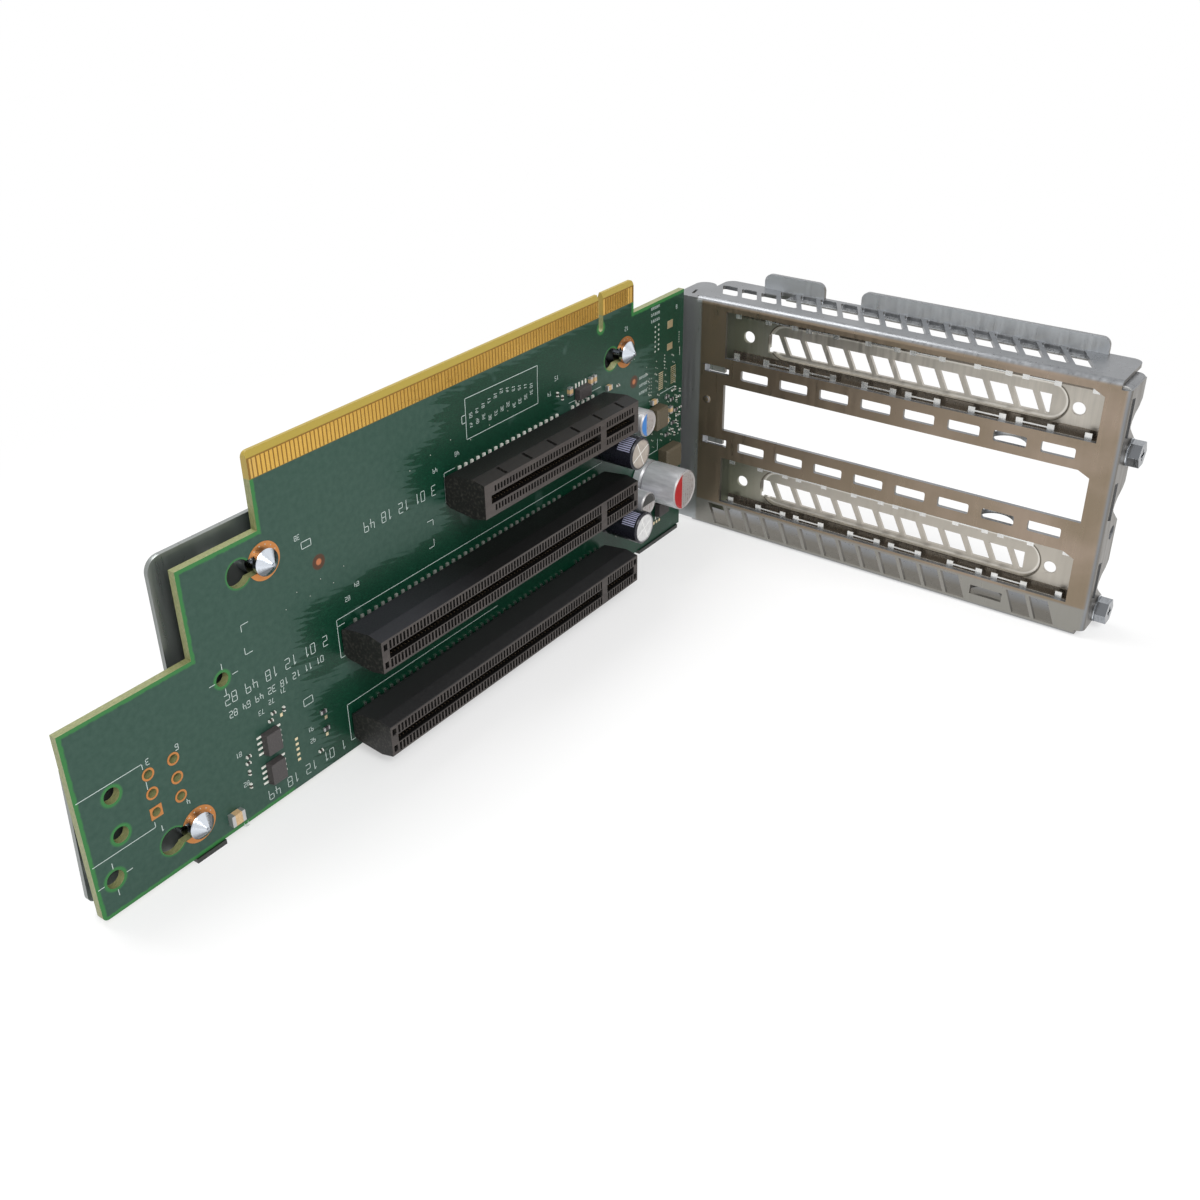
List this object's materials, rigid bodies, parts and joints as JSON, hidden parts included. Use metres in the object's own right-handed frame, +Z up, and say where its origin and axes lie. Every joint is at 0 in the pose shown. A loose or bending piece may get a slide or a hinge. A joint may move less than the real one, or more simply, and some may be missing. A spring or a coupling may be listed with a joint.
{
  "type": "riser cage bracket",
  "caption": "Server riser cage: a green riser board with stacked card connectors on a folded steel bracket, with rear slot openings, vented fillers and screws",
  "frame": {"origin": "middle of the bounding box, on the plane of the bracket's lower flange", "axes": "+X along the card slots towards the rear panel, +Z up, -Y the side the cards enter from"},
  "size_m": [0.2088, 0.1186, 0.0746],
  "materials": {
    "bracket_steel": "zinc plated, satin",
    "filler_steel": "zinc plated, satin",
    "spring_steel": "dull",
    "plated_steel": "bright nickel plate",
    "circuit_board": "green solder mask",
    "gold": "gold plate",
    "copper": "bare copper",
    "connector_plastic": "moulded, slightly glossy",
    "tin": "tinned",
    "black_sleeve": "shrink sleeve",
    "can_aluminium": "drawn can",
    "ceramic": "fired ceramic",
    "ferrite": "pressed powder",
    "chip_plastic": "moulded"
  },
  "bodies": {
    "root": {"bracket": "bracket_steel", "ceramic_capacitor_1": "ceramic", "ceramic_capacitor_2": "ceramic", "ceramic_capacitor_3": "ceramic", "ceramic_capacitor_4": "ceramic", "ceramic_capacitor_5": "ceramic", "ceramic_capacitor_6": "ceramic", "ceramic_capacitor_7": "ceramic", "ceramic_capacitor_8": "ceramic", "chip_leads": "tin", "chip_resistor_1": "chip_plastic", "chip_resistor_2": "chip_plastic", "chip_resistor_3": "chip_plastic", "chip_resistor_4": "chip_plastic", "chip_resistor_5": "chip_plastic", "chip_resistor_6": "chip_plastic", "chip_resistor_7": "chip_plastic", "copper_rings": "copper", "edge_contacts": "gold", "large_capacitor": "can_aluminium", "left_stud": "plated_steel", "lower_black_capacitor": "black_sleeve", "lower_connector": "connector_plastic", "lower_filler": "filler_steel", "lower_filler_bottom_spring": "spring_steel", "lower_filler_top_spring": "spring_steel", "lower_inductor": "ferrite", "lower_left_chip": "chip_plastic", "lower_screw": "plated_steel", "lower_silver_capacitor": "can_aluminium", "lower_stud": "plated_steel", "lower_tails": "tin", "middle_connector": "connector_plastic", "middle_tails": "tin", "power_chip": "chip_plastic", "right_stud": "plated_steel", "riser_board": "circuit_board", "slot_chip": "chip_plastic", "top_strip": "spring_steel", "upper_black_capacitor": "black_sleeve", "upper_connector": "connector_plastic", "upper_filler": "filler_steel", "upper_filler_bottom_spring": "spring_steel", "upper_filler_top_spring": "spring_steel", "upper_inductor": "ferrite", "upper_left_chip": "chip_plastic", "upper_screw": "plated_steel", "upper_silver_capacitor": "can_aluminium", "upper_tails": "tin"}
  },
  "joints": []
}
